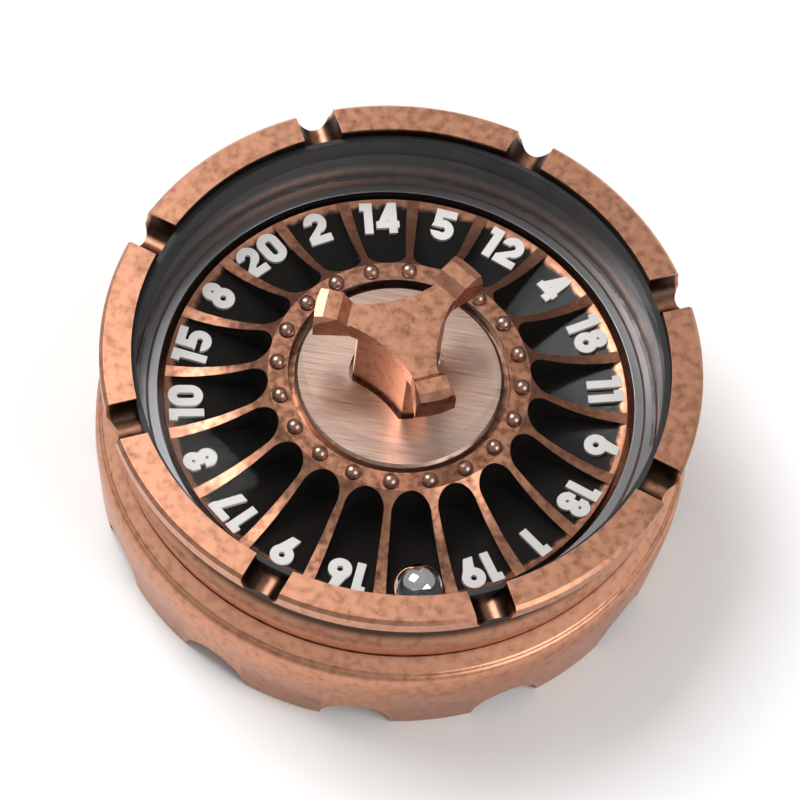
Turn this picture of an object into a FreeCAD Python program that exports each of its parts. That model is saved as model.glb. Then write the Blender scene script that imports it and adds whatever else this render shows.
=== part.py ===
import FreeCAD, Part
import math
import os

# Pocket number spinner: a wheel with twenty numbered pockets under a clear crystal,
# a loose steel ball, and a sprung three-armed knob. Millimetres, +Z up, origin at the
# centre of the face that it stands on.

os.makedirs("parts", exist_ok=True)

# ---- overall sizes -------------------------------------------------------------------
body_height = 19.0          # standing face to the flat rim of the bezel
band_radius = 25.5          # widest part of the case
foot_radius = 24.95         # outside of the skirt at the standing face

# ---- fits ----------------------------------------------------------------------------
press_clearance = 0.01      # pieces pressed or screwed together
running_clearance = 0.02    # rolling and turning pieces
slide_clearance = 0.3       # knob stem in the hub cap
face_gap = 0.1              # thin gap at a seam or a stop

# ---- case, from the standing face up --------------------------------------------------
scallop_radius = 3.05
scallop_count = 12
scallop_start = -1.8        # plan angle of the first scallop, degrees
skirt_wall = 2.1
skirt_edge = 0.25
cover_recess = 2.6
cover_thickness = 1.2
cover_gap = 0.1
web_thickness = 1.2
band_low_z = 6.2            # skirt starts to taper below this
band_top_z = 8.3
groove_z = 9.15
groove_step = 0.32
groove_depth = 0.11
shoulder_radius = 24.15     # top of the conical shoulder, at the seam
seam_z = 10.65
neck_radius = 23.3
neck_bore = 20.9
neck_height = 1.25          # neck above the seam

# ---- base screws -----------------------------------------------------------------------
screw_count = 3
screw_circle = 16.0
screw_radius = 1.0
screw_head_radius = 1.9
screw_length = 5.4
screw_boss_radius = 2.3
screw_boss_height = 3.2
slot_width = 0.45
slot_depth = 0.45

# ---- bearing, 15 x 21 x 4 ---------------------------------------------------------------
bearing_bore = 7.5
bearing_radius = 10.5
bearing_width = 4.0
bearing_ball_radius = 0.79
bearing_ball_count = 14
race_wall = 0.95
cage_wall = 0.5
cage_height = 2.2
shield_thickness = 0.2
seat_wall = 1.7             # wall of the bearing seat
clip_thickness = 0.5
clip_bite = 0.45            # how far the clip reaches into its groove
clip_width = 1.05
clip_opening = 30.0         # degrees
seat_rim = 0.4              # seat above the clip

# ---- bezel, from the rim down ------------------------------------------------------------
rim_bore = 22.78
rim_face_radius = 25.13
rim_radius = 25.45
rim_edge = 0.3
rim_side = 1.3
cove_radius = 23.95
cove_drop = 3.5
lip_radius = 24.62
lip_drop = 5.9
lip_height = 1.7
lip_foot_radius = 24.25
notch_count = 8
notch_start = 19.65
notch_radius = 1.7
notch_depth = 2.0

# ---- crystal -------------------------------------------------------------------------------
crystal_radius = 22.3
crystal_drop = 0.85         # edge of the crystal below the rim
crystal_dome = 0.75         # rise of the top from edge to hole
crystal_edge = 1.75         # thickness of the plate
crystal_hole = 8.5
crystal_skirt_wall = 0.43
crystal_skirt_foot = 6.45   # foot of the skirt below the rim
crystal_chamfer = 0.2
gasket_drop = 1.0
gasket_height = 1.75

# ---- track ring ------------------------------------------------------------------------------
track_bore = 20.39
track_land = 0.76
track_drop = 6.3            # top of the land below the rim
track_step = 0.2

# ---- wheel -------------------------------------------------------------------------------------
pocket_count = 20
pocket_start = 5.48         # plan angle of the pocket that holds number 5
wheel_radius = 19.8
wheel_edge_drop = 6.58      # outer edge of the frets below the rim
wheel_under_z = 10.45       # flat underside above the standing face
ring_drop = 3.3             # bead ring below the rim
pocket_inner = 11.18
fret_mid_radius = 14.5
fret_mid_drop = 5.75
fret_root = 0.62            # fret thickness where the pocket's round end stops
fret_tip = 1.1              # fret thickness at the outer edge
floor_drop = 7.0
floor_slope = 0.07
ramp_width = 0.9
bead_circle = 10.4
bead_radius = 0.72
hub_bore = 9.5
hub_tube_bore = 6.4
hub_tube_wall = 0.7
hub_shelf = 1.5
hub_floor = 0.8
hub_floor_z = 4.1
collar_step = 0.25

# ---- numerals ----------------------------------------------------------------------------------
figure_inner = 16.5
figure_height = 3.0
figure_stroke = 0.74
figure_width = 2.02
figure_gap = 0.3
figure_rise = 0.34
numbers = (5, 12, 4, 18, 11, 6, 13, 1, 19, 7, 16, 9, 17, 3, 10, 15, 8, 20, 2, 14)

# ---- hub cap, knob and spring --------------------------------------------------------------------
cap_radius = 8.89
cap_thickness = 1.1
cap_bevel = 0.25
lobe_radius = 4.0
lobe_half_width = 1.15
lobe_waist = 2.55
knob_angle = 33.9
knob_rise = 6.3             # underside of the head above the hub cap
knob_travel = 5.0
head_thickness = 1.6
arm_radius = 7.8
arm_half_width = 1.75
arm_neck = 4.7
arm_neck_half_width = 1.1
head_waist = 2.7
block_height = 0.95
block_slope = 0.85
block_bevel = 0.4
block_fall = 0.3
washer_radius = 6.1
washer_thickness = 0.8
knob_screw_radius = 1.0
knob_screw_head = 1.9
knob_screw_head_height = 1.0
knob_screw_length = 4.0
spring_radius = 4.6
spring_wire = 0.3
spring_turns = 5
cap_screw_circle = 8.05
cap_screw_radius = 0.5
cap_screw_head = 0.8
cap_screw_head_height = 0.6
cap_screw_bite = 0.65
nut_radius = 8.9
nut_height = 0.9

# ---- ball --------------------------------------------------------------------------------------
ball_radius = 2.0
ball_pocket = 9             # pocket number counted from pocket_start

# ---- heights that follow from the sizes above ---------------------------------------------------
cover_top_z = cover_recess + cover_thickness
web_z = cover_top_z
seat_z = web_z + web_thickness
bearing_top_z = seat_z + bearing_width
clip_top_z = bearing_top_z + clip_thickness
neck_z = seam_z + neck_height
cap_top_z = body_height - ring_drop - 0.05
cap_z = cap_top_z - cap_thickness
washer_z = cap_z - face_gap - washer_thickness
ring_z = body_height - ring_drop
wheel_edge_z = body_height - wheel_edge_drop
floor_edge_z = body_height - floor_drop
head_z = cap_top_z + knob_rise
skirt_inner = foot_radius - skirt_wall
pitch_radius = (bearing_bore + bearing_radius) / 2
pocket_pitch = 360.0 / pocket_count
spring_floor_z = hub_floor_z + hub_floor


def at(radius, angle, z=0.0):
    """A point at a plan angle that runs clockwise from +Y."""
    a = math.radians(angle)
    return FreeCAD.Vector(radius * math.sin(a), radius * math.cos(a), z)


def revolve(points):
    """Solid of revolution about Z from (radius, z) points; a triple starts an arc through it."""
    edges = []
    corner = [FreeCAD.Vector(p[0], 0, p[1]) for p in points]
    mids = {i: FreeCAD.Vector(p[2], 0, p[3]) for i, p in enumerate(points) if len(p) == 4}
    for i, start in enumerate(corner):
        end = corner[(i + 1) % len(corner)]
        if i in mids:
            edges.append(Part.Arc(start, mids[i], end).toShape())
        else:
            edges.append(Part.LineSegment(start, end).toShape())
    face = Part.Face(Part.Wire(edges))
    return face.revolve(FreeCAD.Vector(0, 0, 0), FreeCAD.Vector(0, 0, 1), 360)


def ring(inner, outer, low, high):
    return revolve([(inner, low), (outer, low), (outer, high), (inner, high)])


def disc(radius, low, high):
    return Part.makeCylinder(radius, high - low, FreeCAD.Vector(0, 0, low))


def pillar(radius, low, high, centre):
    return Part.makeCylinder(radius, high - low, FreeCAD.Vector(centre.x, centre.y, low))


def around(shape, count, start=0.0):
    """Copies of a shape turned clockwise about Z."""
    copies = []
    for i in range(count):
        copy = shape.copy()
        copy.rotate(FreeCAD.Vector(0, 0, 0), FreeCAD.Vector(0, 0, 1), -(start + i * 360.0 / count))
        copies.append(copy)
    return copies


def prism(points, low, high):
    """Upright prism from plan points; a pair of vectors is an arc's middle and end."""
    edges = []
    last = points[0]
    for item in points[1:] + [points[0]]:
        if isinstance(item, tuple):
            edges.append(Part.Arc(last, item[0], item[1]).toShape())
            last = item[1]
        elif last.distanceToPoint(item) > 1e-6:
            edges.append(Part.LineSegment(last, item).toShape())
            last = item
    face = Part.Face(Part.Wire(edges))
    face.translate(FreeCAD.Vector(0, 0, low))
    return face.extrude(FreeCAD.Vector(0, 0, high - low))


def save(name, shape):
    shape.exportStep("parts/" + name + ".step")


# ---- case body --------------------------------------------------------------------------------
def shoulder_at(z):
    """Radius of the conical shoulder at a height."""
    share = (z - band_top_z) / (seam_z - band_top_z)
    return band_radius + share * (shoulder_radius - band_radius)


def case_body():
    outline = [
        (skirt_inner, 0), (foot_radius - skirt_edge, 0), (foot_radius, skirt_edge),
        (band_radius, band_low_z), (band_radius, band_top_z), (shoulder_radius, seam_z),
        (neck_radius, seam_z), (neck_radius, neck_z), (neck_bore, neck_z), (neck_bore, seat_z),
        (bearing_radius + seat_wall, seat_z),
        (bearing_radius + seat_wall, clip_top_z + seat_rim),
        (bearing_radius + press_clearance, clip_top_z + seat_rim),
        (bearing_radius + press_clearance, seat_z),
        (bearing_radius - race_wall, seat_z), (bearing_radius - race_wall, web_z),
        (skirt_inner, web_z)]
    body = revolve(outline)
    clip_groove = ring(bearing_radius - 1, bearing_radius + clip_bite + face_gap / 2,
                       bearing_top_z, clip_top_z + face_gap / 2)
    body = body.cut(clip_groove)
    for z in (groove_z, groove_z - groove_step):
        edge = shoulder_at(z)
        half = groove_step * 0.3
        body = body.cut(revolve([
            (edge - groove_depth, z), (edge + groove_depth, z - half), (edge + groove_depth, z + half)]))
    scallop = Part.makeCylinder(scallop_radius, band_radius, FreeCAD.Vector(0, 0, 0),
                                FreeCAD.Vector(0, 1, 0))
    inside = disc(skirt_inner - 1, -scallop_radius, web_z)
    body = body.cut(around(scallop.cut(inside), scallop_count, scallop_start))
    bosses = around(pillar(screw_boss_radius, seat_z, seat_z + screw_boss_height,
                           at(screw_circle, 0)), screw_count)
    body = body.fuse(bosses).removeSplitter()
    hole = pillar(screw_radius + press_clearance, web_z, seat_z + screw_boss_height,
                  at(screw_circle, 0))
    return body.cut(around(hole, screw_count))


def base_screw():
    """Countersunk screw whose head sits flush in the cover's underside."""
    head_depth = screw_head_radius - screw_radius
    head = Part.makeCone(screw_head_radius, screw_radius, head_depth,
                         FreeCAD.Vector(0, 0, cover_recess))
    shank = disc(screw_radius, cover_recess + head_depth, cover_recess + screw_length)
    slot = Part.makeBox(2 * screw_head_radius + 1, slot_width, slot_depth,
                        FreeCAD.Vector(-screw_head_radius - 0.5, -slot_width / 2, cover_recess))
    return head.fuse(shank).removeSplitter().cut(slot)


def base_cover():
    cover = disc(skirt_inner - cover_gap, cover_recess, cover_top_z)
    head_depth = screw_head_radius - screw_radius
    sink = Part.makeCone(screw_head_radius + press_clearance, screw_radius + press_clearance,
                         head_depth, FreeCAD.Vector(0, 0, cover_recess))
    hole = disc(screw_radius + press_clearance, cover_recess + head_depth, cover_top_z)
    opening = sink.fuse(hole)
    opening.translate(at(screw_circle, 0))
    return cover.cut(around(opening, screw_count))


screw = base_screw()
screw.translate(at(screw_circle, 0))
save("case_body", case_body())
save("base_cover", base_cover())
save("base_screws", Part.makeCompound(around(screw, screw_count)))


# ---- bezel ring ---------------------------------------------------------------------------------
def bezel_ring():
    top = body_height
    seat = top - gasket_drop - gasket_height
    wall = crystal_radius + face_gap / 2
    side_z = top - rim_edge - rim_side
    lip_z = top - lip_drop
    foot_z = lip_z - lip_height
    cove_out = (rim_radius - rim_edge, side_z - rim_edge)
    outline = [
        (rim_bore, top), (rim_bore, seat), (wall, seat), (wall, neck_z),
        (neck_radius + press_clearance, neck_z), (neck_radius + press_clearance, seam_z + face_gap),
        (shoulder_radius - face_gap, seam_z + face_gap), (lip_foot_radius, foot_z),
        (lip_radius, lip_z, cove_radius, top - cove_drop), cove_out, (rim_radius, side_z),
        (rim_radius, top - rim_edge), (rim_face_radius, top)]
    bezel = revolve(outline)
    centre_z = top - notch_depth + notch_radius
    round_end = Part.makeCylinder(notch_radius, 4 * notch_radius,
                                  FreeCAD.Vector(0, rim_bore - notch_radius, centre_z),
                                  FreeCAD.Vector(0, 1, 0))
    slot = Part.makeBox(2 * notch_radius, 4 * notch_radius, notch_depth,
                        FreeCAD.Vector(-notch_radius, rim_bore - notch_radius, centre_z))
    notch = round_end.fuse(slot).removeSplitter()
    return bezel.cut(around(notch, notch_count, notch_start))


save("bezel_ring", bezel_ring())


# ---- crystal, its gasket and the track ring --------------------------------------------------------
def crystal():
    edge_z = body_height - crystal_drop
    hole_z = edge_z + crystal_dome
    wall = crystal_radius - crystal_skirt_wall
    foot_z = body_height - crystal_skirt_foot
    mid = (crystal_radius + crystal_hole) / 2
    mid_z = edge_z + crystal_dome * 0.75
    outline = [
        (crystal_hole, hole_z - crystal_edge, mid, mid_z - crystal_edge), (wall, edge_z - crystal_edge),
        (wall, foot_z), (crystal_radius, foot_z), (crystal_radius, edge_z - crystal_chamfer),
        (crystal_radius - crystal_chamfer, edge_z, mid, mid_z), (crystal_hole, hole_z)]
    return revolve(outline)


def track_ring():
    land_z = body_height - track_drop
    outer = crystal_radius - face_gap / 2
    step = track_bore + track_land
    foot_z = body_height - crystal_skirt_foot
    return revolve([
        (track_bore, neck_z), (outer, neck_z), (outer, foot_z), (step + track_step, foot_z),
        (step, land_z), (track_bore, land_z)])


gasket_top_z = body_height - gasket_drop
save("crystal", crystal())
save("crystal_gasket", ring(crystal_radius + press_clearance, rim_bore - press_clearance,
                            gasket_top_z - gasket_height, gasket_top_z))
save("track_ring", track_ring())


# ---- number wheel -------------------------------------------------------------------------------------
def floor_at(radius):
    return floor_edge_z - floor_slope * (wheel_radius - radius)


def pocket_prism():
    """Plan outline of one pocket: a round inner end and sides that open outwards."""
    step = math.radians(pocket_pitch)
    end_radius = (pocket_inner * step - fret_root) / (2 - step)
    end_centre = pocket_inner + end_radius
    outer = wheel_radius + 1.0
    half_tip = (wheel_radius * step - fret_tip) / 2
    tilt = math.atan2(half_tip - end_radius, wheel_radius - end_centre)
    right_in = FreeCAD.Vector(end_radius * math.cos(tilt), end_centre - end_radius * math.sin(tilt), 0)
    left_in = FreeCAD.Vector(-right_in.x, right_in.y, 0)
    spread = right_in.x + (outer - right_in.y) * math.tan(tilt)
    return prism([left_in, (FreeCAD.Vector(0, pocket_inner, 0), right_in),
                  FreeCAD.Vector(spread, outer, 0), FreeCAD.Vector(-spread, outer, 0)],
                 wheel_under_z, ring_z + 1)


def wheel_floor():
    """Dish under the pockets, with the turned-up edge."""
    return revolve([
        (hub_bore, wheel_under_z), (wheel_radius, wheel_under_z), (wheel_radius, wheel_edge_z),
        (wheel_radius - ramp_width, floor_at(wheel_radius - ramp_width)),
        (hub_bore, floor_at(hub_bore))])


def number_wheel():
    race_outer = bearing_bore + collar_step
    tube = hub_tube_bore + hub_tube_wall
    shelf_z = cap_z - hub_shelf
    frets = revolve([
        (hub_bore, wheel_under_z), (wheel_radius, wheel_under_z),
        (wheel_radius, wheel_edge_z, fret_mid_radius, body_height - fret_mid_drop),
        (pocket_inner, ring_z), (hub_bore, ring_z)])
    frets = frets.cut(around(pocket_prism(), pocket_count, pocket_start))
    hub = revolve([
        (0, hub_floor_z), (bearing_bore - press_clearance, hub_floor_z),
        (bearing_bore - press_clearance, bearing_top_z), (race_outer, bearing_top_z),
        (race_outer, wheel_under_z), (tube, wheel_under_z), (tube, shelf_z), (hub_bore, shelf_z),
        (hub_bore, cap_z), (hub_tube_bore, cap_z), (hub_tube_bore, spring_floor_z),
        (0, spring_floor_z)])
    bead = Part.makeSphere(bead_radius, at(bead_circle, 0, ring_z))
    beads = around(bead, pocket_count, pocket_start + pocket_pitch / 2)
    wheel = wheel_floor().fuse([frets, hub] + beads).removeSplitter()
    hole = pillar(cap_screw_radius + press_clearance, shelf_z - 0.1, cap_z + 0.1,
                  at(cap_screw_circle, 0))
    return wheel.cut(around(hole, screw_count, knob_angle))


save("number_wheel", number_wheel())


# ---- numerals -------------------------------------------------------------------------------------------
# Each figure is drawn in its own plane with its foot on y = 0 and made as an upright prism.
figure_top = figure_height
figure_deep = 1.5
bowl = figure_width / 2


def flat(points):
    return prism([FreeCAD.Vector(x, y, 0) for x, y in points], 0, figure_deep)


def bar(x0, y0, x1, y1):
    return flat([(x0, y0), (x1, y0), (x1, y1), (x0, y1)])


def pin(x, y, radius):
    return Part.makeCylinder(radius, figure_deep, FreeCAD.Vector(x, y, 0))


def stadium(x, y0, y1, radius):
    """Upright rounded slot between two heights."""
    low = y0 + radius
    high = y1 - radius
    return bar(x - radius, low, x + radius, high).fuse([pin(x, low, radius), pin(x, high, radius)])


def figure_zero():
    inner = stadium(bowl, figure_stroke, figure_top - figure_stroke, bowl - figure_stroke)
    return stadium(bowl, 0, figure_top, bowl).cut(inner)


def figure_one():
    stem = bar(figure_stroke * 0.5, 0, figure_stroke * 1.5, figure_top)
    return stem.fuse(bar(0, figure_top - figure_stroke, figure_stroke * 0.5, figure_top))


def figure_two():
    y = figure_top - bowl
    arch = pin(bowl, y, bowl).cut(pin(bowl, y, bowl - figure_stroke))
    arch = arch.cut(flat([(bowl, y), (-1, y), (-1, -1), (figure_width, -1)]))
    slant = flat([(0, 0), (0, figure_stroke), (figure_width - figure_stroke * 0.75, y),
                  (figure_width, y - 0.1), (figure_stroke * 1.3, figure_stroke)])
    return arch.fuse([slant, bar(0, 0, figure_width, figure_stroke)])


def figure_three():
    radius = (figure_top + figure_stroke * 0.7) / 4
    low = radius
    high = figure_top - radius
    x = figure_width - radius
    shape = pin(x, low, radius).fuse(pin(x, high, radius))
    shape = shape.cut(pin(x, low, radius - figure_stroke).fuse(pin(x, high, radius - figure_stroke)))
    shape = shape.cut(bar(-1, low, x - 0.1, high))
    core = bar(x - radius * 0.55, figure_top / 2 - figure_stroke / 2, x,
               figure_top / 2 + figure_stroke / 2)
    ends = [bar(x - radius, y - figure_stroke / 2, x - radius + figure_stroke, y + figure_stroke / 2)
            for y in (low, high)]
    return shape.fuse([core] + ends)


def figure_four():
    leg = figure_width - figure_stroke * 1.25
    slant = flat([(0, figure_stroke), (leg, figure_top), (leg + figure_stroke, figure_top),
                  (leg + figure_stroke, figure_top - 0.4), (figure_stroke, figure_stroke)])
    return slant.fuse([bar(leg, 0, leg + figure_stroke, figure_top),
                       bar(0, figure_stroke * 0.7, figure_width, figure_stroke * 1.6)])


def figure_five():
    radius = figure_width / 2
    lower = pin(radius, radius, radius).cut(pin(radius, radius, radius - figure_stroke))
    lower = lower.cut(bar(-1, radius - figure_stroke * 0.3, radius * 0.8, radius + figure_stroke * 0.3))
    back = bar(figure_stroke * 0.2, radius + figure_stroke * 0.3, figure_stroke * 1.1, figure_top)
    return lower.fuse([back, bar(figure_stroke * 0.2, figure_top - figure_stroke,
                                 figure_width, figure_top)])


def figure_six():
    radius = figure_width / 2
    lower = pin(radius, radius, radius)
    stem = flat([(0, radius), (radius * 0.85, figure_top), (radius * 0.85 + figure_stroke * 1.1, figure_top),
                 (radius * 1.2, radius)])
    return lower.fuse(stem).cut(pin(radius, radius, radius - figure_stroke))


def figure_seven():
    leg = flat([(figure_stroke * 0.5, 0), (figure_width - figure_stroke, figure_top - figure_stroke * 0.5),
                (figure_width, figure_top - figure_stroke * 0.5), (figure_stroke * 1.6, 0)])
    return leg.fuse(bar(0, figure_top - figure_stroke, figure_width, figure_top))


def figure_eight():
    low = figure_width / 2
    high_radius = (figure_top - 2 * low + figure_stroke) / 2
    high = figure_top - high_radius
    shape = pin(low, low, low).fuse(pin(low, high, high_radius))
    return shape.cut([pin(low, low, low - figure_stroke), pin(low, high, high_radius - figure_stroke)])


def figure_nine():
    shape = figure_six()
    shape.rotate(FreeCAD.Vector(bowl, figure_top / 2, 0), FreeCAD.Vector(0, 0, 1), 180)
    return shape


figure_makers = (figure_zero, figure_one, figure_two, figure_three, figure_four,
                 figure_five, figure_six, figure_seven, figure_eight, figure_nine)


def numeral(number, angle):
    """One number with its foot towards the hub, resting on the pocket floor."""
    shapes = []
    x = 0.0
    for letter in str(number):
        shape = figure_makers[int(letter)]().removeSplitter()
        shape.translate(FreeCAD.Vector(x - shape.BoundBox.XMin, 0, 0))
        x = shape.BoundBox.XMax + figure_gap
        shapes.append(shape)
    width = x - figure_gap
    tilt = math.degrees(math.atan(floor_slope))
    placed = []
    for shape in shapes:
        shape.translate(FreeCAD.Vector(-width / 2, 0, figure_rise - figure_deep))
        shape.rotate(FreeCAD.Vector(0, 0, 0), FreeCAD.Vector(1, 0, 0), tilt)
        shape.translate(FreeCAD.Vector(0, figure_inner, floor_at(figure_inner)))
        shape.rotate(FreeCAD.Vector(0, 0, 0), FreeCAD.Vector(0, 0, 1), -angle)
        placed.append(shape)
    return placed


figures = []
for index, number in enumerate(numbers):
    figures += numeral(number, pocket_start + index * pocket_pitch)
dish = wheel_floor()
save("numerals", Part.makeCompound([figure.cut(dish) for figure in figures]))


# ---- hub cap and knob ----------------------------------------------------------------------------------
def three_lobes(tip, half_width, waist, low, high):
    """Three blunt lobes joined by hollow sides, one lobe along +Y."""
    spread = math.degrees(math.asin(half_width / tip))
    points = [at(tip, -spread)]
    for lobe in (0, 120, 240):
        points.append((at(tip, lobe), at(tip, lobe + spread)))
        points.append((at(waist, lobe + 60), at(tip, lobe + 120 - spread)))
    return prism(points, low, high)


def head_outline(low, high):
    """Three flared arms with hollow sides between their necks."""
    tip_spread = math.degrees(math.asin(arm_half_width / arm_radius))
    neck_spread = math.degrees(math.asin(arm_neck_half_width / arm_neck))
    points = [at(arm_neck, -neck_spread)]
    for arm in (0, 120, 240):
        points.append(at(arm_radius, arm - tip_spread))
        points.append((at(arm_radius, arm), at(arm_radius, arm + tip_spread)))
        points.append(at(arm_neck, arm + neck_spread))
        points.append((at(head_waist, arm + 60), at(arm_neck, arm + 120 - neck_spread)))
    return prism(points, low, high)


def arm_roof():
    """Room that one raised arm end may fill: sloped inside, bevelled along both sides."""
    low = head_z
    flat_z = head_z + head_thickness
    top = flat_z + block_height
    side = arm_half_width + 1
    start = arm_neck + 0.2
    slope = [FreeCAD.Vector(-side, y, z) for y, z in (
        (start, low), (start, flat_z), (start + block_slope, top), (arm_radius - 0.8, top),
        (arm_radius + 0.4, top - block_fall), (arm_radius + 0.4, low))]
    along = Part.Face(Part.makePolygon(slope + [slope[0]])).extrude(FreeCAD.Vector(2 * side, 0, 0))
    half = arm_half_width - block_bevel
    across = [FreeCAD.Vector(x, 0, z) for x, z in (
        (-side, low), (side, low), (side, flat_z - 0.2), (arm_half_width, flat_z), (half, top),
        (-half, top), (-arm_half_width, flat_z), (-side, flat_z - 0.2))]
    shell = Part.Face(Part.makePolygon(across + [across[0]]))
    return along.common(shell.extrude(FreeCAD.Vector(0, arm_radius + 1, 0)))


def knob():
    plate = head_outline(head_z, head_z + head_thickness)
    tall = head_outline(head_z, head_z + head_thickness + block_height)
    ends = tall.common(Part.makeCompound(around(arm_roof(), 3)))
    stem = three_lobes(lobe_radius, lobe_half_width, lobe_waist, cap_z - face_gap, head_z)
    shape = plate.fuse([ends, stem]).removeSplitter()
    hole = disc(knob_screw_radius + press_clearance, cap_z - face_gap,
                cap_z - face_gap + knob_screw_length + face_gap)
    return turned(shape.cut(hole))


def turned(shape):
    """Turn a knob piece to where the knob stands at rest."""
    shape.rotate(FreeCAD.Vector(0, 0, 0), FreeCAD.Vector(0, 0, 1), -knob_angle)
    return shape


def hub_cap():
    body = revolve([
        (0, cap_z), (cap_radius, cap_z), (cap_radius, cap_top_z - cap_bevel),
        (cap_radius - cap_bevel, cap_top_z), (0, cap_top_z)])
    opening = three_lobes(lobe_radius + slide_clearance, lobe_half_width + slide_clearance,
                          lobe_waist + slide_clearance, cap_z - 1, cap_top_z + 1)
    holes = around(pillar(cap_screw_radius + press_clearance, cap_z,
                          cap_z + cap_screw_bite + face_gap, at(cap_screw_circle, 0)), screw_count)
    return turned(body.cut([opening] + holes))


def cap_screw():
    shelf_z = cap_z - hub_shelf
    centre = at(cap_screw_circle, 0)
    shank = pillar(cap_screw_radius, shelf_z, cap_z + cap_screw_bite, centre)
    head = pillar(cap_screw_head, shelf_z - cap_screw_head_height, shelf_z, centre)
    slot = Part.makeBox(2 * cap_screw_head, slot_width / 2, slot_depth / 2,
                        centre + FreeCAD.Vector(-cap_screw_head, -slot_width / 4,
                                                shelf_z - cap_screw_head_height))
    return head.fuse(shank).removeSplitter().cut(slot)


def knob_screw():
    head = disc(knob_screw_head, washer_z - knob_screw_head_height, washer_z)
    shank = disc(knob_screw_radius, washer_z, washer_z + washer_thickness + knob_screw_length)
    slot = Part.makeBox(2 * knob_screw_head, slot_width, slot_depth,
                        FreeCAD.Vector(-knob_screw_head, -slot_width / 2,
                                       washer_z - knob_screw_head_height))
    return head.fuse(shank).removeSplitter().cut(slot)


def knob_spring():
    """Round wire wound between the hub's floor and the washer."""
    low = spring_floor_z + spring_wire + running_clearance
    high = washer_z - spring_wire - running_clearance
    helix = Part.makeHelix((high - low) / spring_turns, high - low, spring_radius)
    helix.translate(FreeCAD.Vector(0, 0, low))
    section = Part.Wire(Part.Circle(FreeCAD.Vector(spring_radius, 0, low),
                                    FreeCAD.Vector(0, 1, 0), spring_wire).toShape())
    return Part.Wire(helix.Edges).makePipeShell([section], True, True)


save("hub_cap", hub_cap())
save("hub_screws", Part.makeCompound(around(cap_screw(), screw_count, knob_angle)))
save("knob", knob())
save("knob_washer", ring(knob_screw_radius + press_clearance, washer_radius,
                         washer_z, washer_z + washer_thickness))
save("knob_screw", knob_screw())
save("knob_spring", knob_spring())


# ---- bearing ----------------------------------------------------------------------------------------------
bearing_mid_z = seat_z + bearing_width / 2
groove_radius = bearing_ball_radius + running_clearance
groove = Part.makeTorus(pitch_radius, groove_radius, FreeCAD.Vector(0, 0, bearing_mid_z))
shield_inner = bearing_bore + race_wall + running_clearance
shield_outer = bearing_radius - race_wall - press_clearance
inner_race = ring(bearing_bore, bearing_bore + race_wall, seat_z, bearing_top_z)
outer_race = ring(bearing_radius - race_wall, bearing_radius, seat_z, bearing_top_z)
bearing_ball = Part.makeSphere(bearing_ball_radius, at(pitch_radius, 0, bearing_mid_z))
ball_room = Part.makeSphere(groove_radius, at(pitch_radius, 0, bearing_mid_z))
cage = ring(pitch_radius - cage_wall / 2, pitch_radius + cage_wall / 2,
            bearing_mid_z - cage_height / 2, bearing_mid_z + cage_height / 2)
save("bearing_inner_race", inner_race.cut(groove))
save("bearing_outer_race", outer_race.cut(groove))
save("bearing_balls", Part.makeCompound(around(bearing_ball, bearing_ball_count)))
save("bearing_cage", cage.cut(around(ball_room, bearing_ball_count)))
save("bearing_shields", Part.makeCompound([
    ring(shield_inner, shield_outer, seat_z, seat_z + shield_thickness),
    ring(shield_inner, shield_outer, bearing_top_z - shield_thickness, bearing_top_z)]))


def bearing_clip():
    """Open spring ring in the groove above the outer race."""
    outer = bearing_radius + clip_bite
    clip = ring(outer - clip_width, outer, bearing_top_z, clip_top_z)
    half = math.tan(math.radians(clip_opening / 2)) * (outer + 1)
    gap = prism([FreeCAD.Vector(0, 0, 0), FreeCAD.Vector(half, -outer - 1, 0),
                 FreeCAD.Vector(-half, -outer - 1, 0)], bearing_top_z, clip_top_z)
    return clip.cut(gap)


save("bearing_clip", bearing_clip())
save("wheel_nut", ring(bearing_bore, nut_radius, seat_z - nut_height, seat_z))


# ---- loose ball --------------------------------------------------------------------------------------------
# It rolls on the track ring's inner corner and leans on the crystal's skirt.
ball_circle = crystal_radius - crystal_skirt_wall - ball_radius - face_gap
reach = ball_radius + running_clearance
ball_z = body_height - track_drop + math.sqrt(reach ** 2 - (track_bore - ball_circle) ** 2)
save("steel_ball", Part.makeSphere(ball_radius, at(ball_circle, pocket_start + ball_pocket * pocket_pitch,
                                                   ball_z)))
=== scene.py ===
import math
import bmesh
import bpy
from mathutils import Matrix, Vector


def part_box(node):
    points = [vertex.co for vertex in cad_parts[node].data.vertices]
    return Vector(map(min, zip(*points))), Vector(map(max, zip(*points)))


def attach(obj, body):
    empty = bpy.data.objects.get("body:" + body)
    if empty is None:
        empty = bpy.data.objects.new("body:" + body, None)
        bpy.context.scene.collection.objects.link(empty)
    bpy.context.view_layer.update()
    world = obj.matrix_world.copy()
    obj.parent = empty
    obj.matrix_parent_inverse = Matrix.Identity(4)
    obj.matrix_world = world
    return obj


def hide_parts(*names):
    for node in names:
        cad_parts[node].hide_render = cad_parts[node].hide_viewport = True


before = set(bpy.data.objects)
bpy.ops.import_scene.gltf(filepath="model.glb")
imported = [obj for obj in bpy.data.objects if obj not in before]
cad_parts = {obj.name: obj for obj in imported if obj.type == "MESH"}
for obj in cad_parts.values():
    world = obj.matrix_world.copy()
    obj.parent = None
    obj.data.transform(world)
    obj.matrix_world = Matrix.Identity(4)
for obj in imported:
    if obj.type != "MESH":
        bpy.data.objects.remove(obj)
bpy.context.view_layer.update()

mm = 0.001

# ---- Bezel ring ------------------------------------------------------------------------
# Turned copper ring that screws down over the crystal. Eight half-round notches are milled
# through its rim, and its side is hollowed into a cove above a rolled lip. The cove and the
# rim's inner walls are painted dark as shade.


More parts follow.
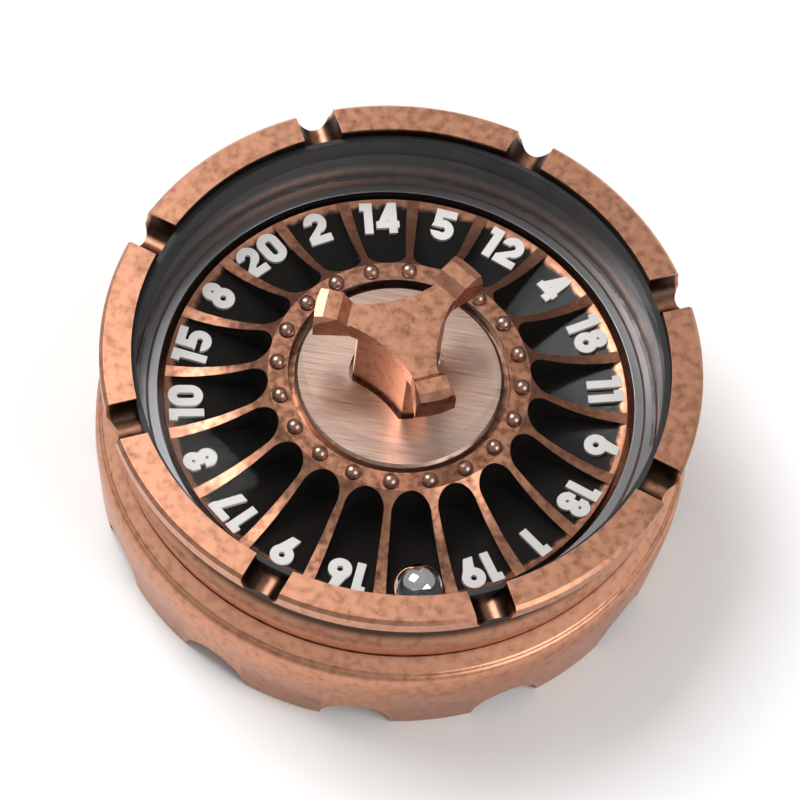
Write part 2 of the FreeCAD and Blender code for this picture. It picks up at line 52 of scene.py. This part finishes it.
def lathe(name, profile, segments=240):
    """Closed turned mesh from (radius, height) points in millimetres."""
    mesh = bpy.data.meshes.new(name)
    bm = bmesh.new()
    rings = []
    for k in range(segments):
        a = 2 * math.pi * k / segments
        rings.append([bm.verts.new((r * math.sin(a) * mm, r * math.cos(a) * mm, z * mm))
                      for r, z in profile])
    for k in range(segments):
        here, there = rings[k], rings[(k + 1) % segments]
        for i in range(len(profile)):
            j = (i + 1) % len(profile)
            bm.faces.new((here[i], here[j], there[j], there[i]))
    bmesh.ops.recalc_face_normals(bm, faces=bm.faces)
    bm.to_mesh(mesh)
    bm.free()
    return placed(name, mesh)


def placed(name, mesh):
    piece = bpy.data.objects.new(name, mesh)
    bpy.context.scene.collection.objects.link(piece)
    return piece


def bow(start, end, rise, steps=14):
    """Points of a circular arc between two profile points, bulging by rise to its left."""
    start, end = Vector(start), Vector(end)
    chord = end - start
    side = Vector((-chord.y, chord.x)).normalized()
    radius = (chord.length ** 2 / 4 + rise ** 2) / (2 * abs(rise))
    centre = (start + end) / 2 + side * math.copysign(abs(rise) - radius, rise)
    first = (start - centre).angle_signed(end - centre)
    arm = start - centre
    return [tuple(centre + Matrix.Rotation(-first * i / steps, 2) @ arm) for i in range(steps + 1)]


def extrude(name, outline, low, high):
    """Upright prism of a plan outline, in millimetres."""
    mesh = bpy.data.meshes.new(name)
    bm = bmesh.new()
    base = bm.faces.new([bm.verts.new((x * mm, y * mm, low * mm)) for x, y in outline])
    top = bmesh.ops.extrude_face_region(bm, geom=[base])
    moved = [v for v in top["geom"] if isinstance(v, bmesh.types.BMVert)]
    bmesh.ops.translate(bm, verts=moved, vec=(0, 0, (high - low) * mm))
    bmesh.ops.recalc_face_normals(bm, faces=bm.faces)
    bm.to_mesh(mesh)
    bm.free()
    return placed(name, mesh)


def copies(tool, count, start):
    """One mesh object of a cutter repeated clockwise about the axis."""
    bm = bmesh.new()
    for i in range(count):
        turned = tool.data.copy()
        turned.transform(Matrix.Rotation(-math.radians(start + i * 360 / count), 4, "Z"))
        bm.from_mesh(turned)
        bpy.data.meshes.remove(turned)
    bm.to_mesh(tool.data)
    bm.free()
    return tool


def carve(piece, tool):
    """Cuts the tool away from the piece for good."""
    cut = piece.modifiers.new("cut", "BOOLEAN")
    cut.object, cut.operation, cut.solver = tool, "DIFFERENCE", "EXACT"
    bpy.context.view_layer.update()
    shaped = bpy.data.meshes.new_from_object(
        piece.evaluated_get(bpy.context.evaluated_depsgraph_get()))
    piece.modifiers.clear()
    piece.data = shaped
    bpy.data.objects.remove(tool)
    return piece


def soften(piece, width, angle=32):
    """Smooth shading with a small rounded edge, as a tumbled casting has."""
    piece.data.shade_smooth()
    edge = piece.modifiers.new("edge", "BEVEL")
    edge.width, edge.segments, edge.angle_limit = width * mm, 2, math.radians(angle)
    edge.harden_normals = True
    return piece


def round_bar(radius, length, centre, name="bar", sides=48):
    """Cutter bar that lies along +Y from centre."""
    outline = [(radius * math.sin(2 * math.pi * i / sides), radius * math.cos(2 * math.pi * i / sides))
               for i in range(sides)]
    bar = extrude(name, outline, 0, length)
    bar.data.transform(Matrix.Translation(Vector(centre) * mm) @ Matrix.Rotation(-math.pi / 2, 4, "X"))
    return bar


class Sock:
    """A node socket that takes arithmetic."""

    def __init__(self, paint, link):
        self.paint, self.link = paint, link

    def math(self, operation, other, swap=False):
        pair = [other, self] if swap else [self, other]
        return self.paint.node("ShaderNodeMath", {"operation": operation}, pair)

    def __add__(self, other):
        return self.math("ADD", other)

    def __radd__(self, other):
        return self.math("ADD", other)

    def __sub__(self, other):
        return self.math("SUBTRACT", other)

    def __rsub__(self, other):
        return self.math("SUBTRACT", other, True)

    def __mul__(self, other):
        return self.math("MULTIPLY", other)

    def __rmul__(self, other):
        return self.math("MULTIPLY", other)

    def __truediv__(self, other):
        return self.math("DIVIDE", other)

    def __pow__(self, other):
        return self.math("POWER", other)


class Paint:
    """A procedural material, built node by node."""

    def __init__(self, name, colour=(0.8, 0.8, 0.8), rough=0.4, metal=0.0):
        self.material = bpy.data.materials.new(name)
        self.material.use_nodes = True
        self.tree = self.material.node_tree
        self.shader = self.tree.nodes["Principled BSDF"]
        self.put("Base Color", colour)
        self.put("Roughness", rough)
        self.put("Metallic", metal)

    def put(self, name, value):
        self.feed(self.shader.inputs[name], value)

    def feed(self, socket, value):
        if isinstance(value, Sock):
            self.tree.links.new(value.link, socket)
        elif isinstance(value, tuple) and len(value) == 3 and socket.type == "RGBA":
            socket.default_value = (*value, 1)
        else:
            socket.default_value = value

    def node(self, kind, settings=None, values=(), out=0):
        made = self.tree.nodes.new(kind)
        for key, value in (settings or {}).items():
            setattr(made, key, value)
        items = values.items() if isinstance(values, dict) else enumerate(values)
        for key, value in items:
            self.feed(made.inputs[key], value)
        return Sock(self, made.outputs[out])

    def mix(self, share, first, second):
        return self.node("ShaderNodeMix", {"data_type": "RGBA"}, {0: share, 6: first, 7: second}, 2)

    def place(self):
        """Distance from the axis and height, in millimetres, and the point itself."""
        point = self.node("ShaderNodeTexCoord", out="Object")
        parts = self.node("ShaderNodeSeparateXYZ", values=[point])
        x, y, z = (Sock(self, s) for s in parts.link.node.outputs)
        return (x * x + y * y) ** 0.5 * 1000, z * 1000, point

    def noise(self, point, scale, detail=4.0):
        return self.node("ShaderNodeTexNoise", {}, {"Vector": point, "Scale": scale, "Detail": detail})

    def step(self, value, low, high):
        """0 below low, 1 above high, smooth between."""
        return self.node("ShaderNodeMapRange", {"interpolation_type": "SMOOTHSTEP"},
                         {"Value": value, "From Min": low, "From Max": high})

    def bump(self, height, strength, distance):
        self.put("Normal", self.node("ShaderNodeBump", {}, {
            "Strength": strength, "Distance": distance, "Height": height}))

    def upward(self):
        normal = self.node("ShaderNodeNewGeometry", out="Normal")
        parts = self.node("ShaderNodeSeparateXYZ", values=[normal])
        return Sock(self, parts.link.node.outputs[2])


copper_light = (0.60, 0.29, 0.18)
copper_deep = (0.40, 0.175, 0.105)
# Near-black used both for the wheel's blackened finish and for painted shade on the copper.
blackening_and_shade = (0.012, 0.010, 0.009)


def copper(name, shade_above=None, shade_below=None, rough=0.32):
    """Mottled satin copper, with painted shade between two heights and on the inner walls above them."""
    paint = Paint(name, metal=1.0)
    radius, height, point = paint.place()
    cloud = paint.noise(point, 1300.0, 6.0)
    grain = paint.noise(point, 6000.0, 2.0)
    colour = paint.mix(paint.step(cloud, 0.2, 0.62), copper_deep, copper_light)
    if shade_above is not None:
        # Painted shade: dark between the two heights, and on inner walls inside 25 mm radius up to 18.7
        # mm high.
        band = paint.step(height, shade_above - 0.7, shade_above + 0.5)
        band = band * (1 - paint.step(height, shade_below - 0.5, shade_below + 0.4))
        hollow = paint.step(height, shade_below, shade_below + 0.3) * (1 - paint.step(height, 18.7, 18.95))
        hollow = hollow * (1 - paint.step(radius, 25.0, 25.35))
        shade = band + hollow * (1 - band)
        colour = paint.mix(shade * 0.93, colour, blackening_and_shade)
    paint.put("Base Color", colour)
    paint.put("Roughness", cloud * 0.2 + grain * 0.1 + (rough - 0.15))
    paint.bump(grain, 0.12, 0.00004)
    return paint


def dress(piece, paint, body, node):
    piece.data.materials.clear()
    piece.data.materials.append(paint.material)
    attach(piece, body)
    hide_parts(node)


rim_z = 19.0
rim_bore = 22.78
rim_outer = 25.45
rim_face = 25.13
gasket_z = 16.25
crystal_bore = 22.35
neck_bore = 23.32
neck_z = 11.9
seam_z = 10.75
lip_foot = (24.25, 11.4)
lip = (24.62, 13.1)
cove_top = (25.1, 17.3)
cove_depth = 0.92
side_foot = (25.42, 17.6)
side_top_z = 18.7
bezel = lathe("bezel", [
    (rim_bore, rim_z), (rim_bore, gasket_z), (crystal_bore, gasket_z), (crystal_bore, neck_z),
    (neck_bore, neck_z), (neck_bore, seam_z), (24.05, seam_z), lip_foot]
    + bow(lip, cove_top, -cove_depth) + [side_foot, (rim_outer, side_top_z), (rim_face, rim_z)])
notch_count, notch_start = 8, 19.65
notch_radius, notch_depth = 1.7, 2.0
notch_length, notch_inner = 4.5, 22.0
notch_opening = 1.2
notch_floor = rim_z - notch_depth
notch = round_bar(notch_radius, notch_length, (0, notch_inner, notch_floor + notch_radius), "notch")
for vertex in notch.data.vertices:
    if vertex.co.z > (notch_floor + notch_radius) * mm:
        vertex.co.z += notch_opening * mm
carve(bezel, copies(notch, notch_count, notch_start))
soften(bezel, 0.07)
# Painted shade in the cove, from 13.9 to 16.9 mm high, and on the rim's inner walls above it.
dress(bezel, copper("bezel_copper", 13.9, 16.9), "case", "bezel_ring")

# ---- Case body -------------------------------------------------------------------------
# Lower half of the case, turned from copper. Twelve half-round scallops are cut up into
# its skirt, and a double groove runs round the shoulder.


band_radius = 25.5
band_low_z, band_top_z = 6.2, 8.3
shoulder_radius, shoulder_z = 24.15, 10.65
skirt_inner = 22.85
foot_radius, foot_edge = 24.95, 0.25
neck_radius, neck_inner = 23.3, 20.9
web_z, web_low_z = 5.0, 3.8
seat_outer, seat_bore, seat_top_z = 12.2, 10.51, 9.9
web_bore = 9.55
groove_depth, groove_half = 0.11, 0.1


def shoulder(z):
    """Radius of the conical shoulder at a height."""
    share = (z - band_top_z) / (shoulder_z - band_top_z)
    return band_radius + (shoulder_radius - band_radius) * share


grooves = []
for z in (8.83, 9.15):
    low, high = z - groove_half, z + groove_half
    grooves += [(shoulder(low), low), (shoulder(z) - groove_depth, z), (shoulder(high), high)]
case = lathe("case", [
    (skirt_inner, 0), (foot_radius - foot_edge, 0), (foot_radius, foot_edge),
    (band_radius, band_low_z), (band_radius, band_top_z)] + grooves + [
    (shoulder_radius, shoulder_z), (neck_radius, shoulder_z), (neck_radius, neck_z),
    (neck_inner, neck_z), (neck_inner, web_z), (seat_outer, web_z), (seat_outer, seat_top_z),
    (seat_bore, seat_top_z), (seat_bore, web_z), (web_bore, web_z), (web_bore, web_low_z),
    (skirt_inner, web_low_z)])
scallop_count, scallop_start = 12, -1.8
scallop_radius, scallop_length, scallop_inner = 3.05, 4.2, 22.2
scallop = round_bar(scallop_radius, scallop_length, (0, scallop_inner, 0), "scallop")
carve(case, copies(scallop, scallop_count, scallop_start))
soften(case, 0.07, 40)
# Painted shade round the case neck under the bezel, from 10.9 to 12.5 mm high.
case_paint = copper("case_copper", 10.9, 12.5, 0.36)
dress(case, case_paint, "case", "case_body")

# ---- Crystal ---------------------------------------------------------------------------
# Clear cover with a ground hole for the knob. Its skirt is the wall that the ball leans on.
# It is painted as thin glass: light goes straight through, and only its edges look grey.
glass = Paint("crystal_clear", (0.9, 0.92, 0.93), 0.03)
glass_edge = 1 - glass.step(glass.upward(), 0.3, 0.85)
glass.put("Base Color", glass.mix(glass_edge, (0.0, 0.0, 0.0), (0.55, 0.58, 0.6)))
glass.put("Alpha", glass_edge * 0.07 + 0.05)
hole_radius = 8.5
dome_radius = 15.4
skirt_radius, crystal_radius = 21.87, 22.3
skirt_foot_z = 12.55
crystal_thickness = 1.75
crystal = lathe("crystal", [
    (hole_radius, 18.9 - crystal_thickness), (dome_radius, 18.71 - crystal_thickness),
    (skirt_radius, 18.15 - crystal_thickness), (skirt_radius, skirt_foot_z),
    (crystal_radius, skirt_foot_z), (crystal_radius, 17.95), (crystal_radius - 0.2, 18.15),
    (dome_radius, 18.71), (hole_radius, 18.9)])
soften(crystal, 0.06)
dress(crystal, glass, "case", "crystal")

# ---- Number wheel ----------------------------------------------------------------------
# Copper wheel with twenty round-ended pockets between thin frets, and a ring with one round
# bead over each fret. The pockets are blackened and lacquered, and the tops rubbed bright.
pocket_count = 20
pocket_start = 5.48
pocket_inner = 11.18
wheel_radius = 19.8
ring_z = 15.7
edge_z = 12.42
floor_slope = 0.07


def floor_at(r):
    return 12.0 - floor_slope * (wheel_radius - r)


def fret_top(r):
    return edge_z + (ring_z - edge_z) * ((wheel_radius - r) / (wheel_radius - pocket_inner)) ** 2.0


steps = 14
crest = [(wheel_radius + (pocket_inner - wheel_radius) * i / steps) for i in range(steps + 1)]
wheel = lathe("wheel", [(9.5, 10.5), (wheel_radius, 10.5)] + [(r, fret_top(r)) for r in crest]
              + [(9.5, ring_z)], 360)
pitch = math.radians(360 / pocket_count)
fret_root, fret_tip = 0.62, 1.1
end_radius = (pocket_inner * pitch - fret_root) / (2 - pitch)
end_y = pocket_inner + end_radius
outer_y = wheel_radius + 1
outer_x = (wheel_radius * pitch - fret_tip) / 2 + 0.15
arch = [(end_radius * math.sin(a), end_y - end_radius * math.cos(a))
        for a in (math.pi * (i / 16 - 0.5) for i in range(17))]
pocket = extrude("pocket", arch + [(outer_x, outer_y), (-outer_x, outer_y)], 11.3, 17)
carve(wheel, copies(pocket, pocket_count, pocket_start))
soften(wheel, 0.06, 35)


def wheel_paint(name):
    """Rubbed copper on what faces up and stands above the floor, black lacquer elsewhere."""
    paint = Paint(name)
    radius, height, point = paint.place()
    cloud = paint.noise(point, 1400.0)
    floor = 12.0 - floor_slope * (wheel_radius - radius)
    raised = paint.step(height - floor, 0.16, 0.34) * paint.step(paint.upward(), 0.45, 0.75)
    rubbed = paint.step(cloud, 0.25, 0.6) * 0.45 + 0.55
    edge = paint.step(radius + cloud * 0.8, 19.4, 19.9)
    bare = raised * rubbed
    shown = bare + edge * (1 - bare)
    tone = paint.mix(paint.step(cloud, 0.3, 0.7), copper_deep, copper_light)
    paint.put("Base Color", paint.mix(shown, blackening_and_shade, tone))
    paint.put("Metallic", shown)
    paint.put("Roughness", shown * 0.2 + 0.16)
    paint.put("Specular IOR Level", 0.15)
    return paint


copper_wheel = wheel_paint("wheel_copper_black")
dress(wheel, copper_wheel, "wheel", "number_wheel")
dish = lathe("wheel_dish", [(6.4, 4.9), (6.4, 14.45), (9.5, 14.45), (9.5, floor_at(9.5)),
                            (18.9, floor_at(18.9)), (wheel_radius, edge_z), (wheel_radius, 10.45),
                            (7.75, 10.45), (7.75, 9.0), (7.5, 9.0), (7.5, 4.1), (6.4, 4.1)], 240)
soften(dish, 0.03)
dress(dish, copper_wheel, "wheel", "number_wheel")
bead_circle, bead_radius = 10.4, 0.72
bead_mesh = bpy.data.meshes.new("beads")
bm = bmesh.new()
for i in range(pocket_count):
    a = math.radians(pocket_start + (i + 0.5) * 360 / pocket_count)
    centre = Vector((bead_circle * math.sin(a), bead_circle * math.cos(a), ring_z)) * mm
    bmesh.ops.create_icosphere(bm, subdivisions=4, radius=bead_radius * mm,
                               matrix=Matrix.Translation(centre))
bm.to_mesh(bead_mesh)
bm.free()
beads = placed("beads", bead_mesh)
bead_mesh.shade_smooth()
bead_paint = Paint("bead_copper", (0.55, 0.33, 0.27), 0.28, 1.0)
radius, height, point = bead_paint.place()
bead_dome = bead_paint.step(height, ring_z + 0.05, ring_z + 0.25)
bead_paint.put("Base Color", bead_paint.mix(bead_dome, blackening_and_shade, (0.50, 0.30, 0.24)))
dress(beads, bead_paint, "wheel", "number_wheel")

# ---- Numerals --------------------------------------------------------------------------
# Raised off-white figures on the pocket floors, with their feet towards the hub.
white = Paint("figure_white", (0.85, 0.83, 0.80), 0.5)
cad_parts["numerals"].data.materials[0] = white.material

# ---- Hub cap and knob ------------------------------------------------------------------
# Pale brushed cap pressed over the hub, and the copper knob that slides through its
# three-lobed hole. The knob has crossed scratches from handling; here it gets plain mottled copper.
brushed = Paint("cap_brushed", metal=1.0)
point = brushed.node("ShaderNodeTexCoord", out="Object")
streak = brushed.node("ShaderNodeMapping", {}, {"Vector": point, "Scale": (300, 9000, 300)})
brushed_grain = brushed.noise(streak, 1.0, 3.0)
brushed.put("Base Color", brushed.mix(brushed_grain, (0.42, 0.26, 0.19), (0.80, 0.60, 0.50)))
brushed.put("Roughness", brushed_grain * 0.2 + 0.22)
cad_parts["hub_cap"].data.materials[0] = brushed.material
knob_paint = copper("knob_copper", rough=0.3)
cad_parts["knob"].data.materials[0] = knob_paint.material

# ---- Loose ball ------------------------------------------------------------------------
# Polished steel ball that rolls round the ledge outside the wheel.
low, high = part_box("steel_ball")
ball_mesh = bpy.data.meshes.new("ball")
bm = bmesh.new()
bmesh.ops.create_icosphere(bm, subdivisions=5, radius=(high.z - low.z) / 2,
                           matrix=Matrix.Translation((low + high) / 2))
bm.to_mesh(ball_mesh)
bm.free()
ball_mesh.shade_smooth()
ball = placed("ball", ball_mesh)
dress(ball, Paint("ball_chrome", (0.82, 0.83, 0.85), 0.04, 1.0), "ball", "steel_ball")

# ---- Gasket and track ring -------------------------------------------------------------
# Black gasket round the crystal, and the grey ledge that the ball rolls on.
gasket = lathe("gasket", [(22.31, 16.25), (22.77, 16.25), (22.77, 18.0), (22.31, 18.0)])
dress(gasket, Paint("gasket_black", (0.01, 0.01, 0.01), 0.6), "case", "crystal_gasket")
track = lathe("track", [(20.39, 11.9), (22.25, 11.9), (22.25, 12.55), (21.35, 12.55),
                        (21.15, 12.7), (20.39, 12.7)])
soften(track, 0.05)
dress(track, Paint("track_grey", (0.42, 0.42, 0.43), 0.3, 1.0), "case", "track_ring")

# ---- Studio ----------------------------------------------------------------------------
# Plain pale floor, soft overhead light and the camera.
floor_mesh = bpy.data.meshes.new("floor")
floor_mesh.from_pydata([(-2, -2, 0), (2, -2, 0), (2, 2, 0), (-2, 2, 0)], [], [(0, 1, 2, 3)])
floor = placed("floor", floor_mesh)
floor_mesh.materials.append(Paint("floor_pale", (0.86, 0.86, 0.86), 0.7).material)
scene = bpy.context.scene
world = bpy.data.worlds.new("studio")
world.use_nodes = True
world.node_tree.nodes["Background"].inputs["Color"].default_value = (1, 1, 1, 1)
rays = world.node_tree.nodes.new("ShaderNodeLightPath")
level = world.node_tree.nodes.new("ShaderNodeMapRange")
level.inputs["To Min"].default_value, level.inputs["To Max"].default_value = 0.45, 1.0
world.node_tree.links.new(rays.outputs["Is Camera Ray"], level.inputs["Value"])
world.node_tree.links.new(level.outputs["Result"], world.node_tree.nodes["Background"].inputs["Strength"])
scene.world = world
lamp_size = 0.3
lamps = (("key", (-0.25, 0.15, 0.45), 2.6), ("fill", (0.35, -0.2, 0.35), 1.2))
for name, spot, watts in lamps:
    lamp = bpy.data.lights.new(name, "AREA")
    lamp.size, lamp.energy = lamp_size, watts
    holder = bpy.data.objects.new(name, lamp)
    holder.location = spot
    holder.rotation_euler = (-Vector(spot)).to_track_quat("-Z", "Y").to_euler()
    scene.collection.objects.link(holder)
elevation, roll = math.radians(59.352), math.radians(8.996)
ahead = Vector((0, math.cos(elevation), -math.sin(elevation)))
right = Vector((1, 0, 0))
down = ahead.cross(right)
across = math.cos(roll) * right - math.sin(roll) * down
descent = math.sin(roll) * right + math.cos(roll) * down
lens = bpy.data.cameras.new("camera")
lens.lens, lens.sensor_width, lens.clip_start = 196.2, 36, 0.01
camera = bpy.data.objects.new("camera", lens)
turn = Matrix((across, -descent, -ahead)).transposed().to_4x4()
camera.matrix_world = Matrix.Translation(Vector((0.357, -189.805, 331.931)) * mm) @ turn
scene.collection.objects.link(camera)
scene.camera = camera
scene.view_settings.view_transform = "Standard"
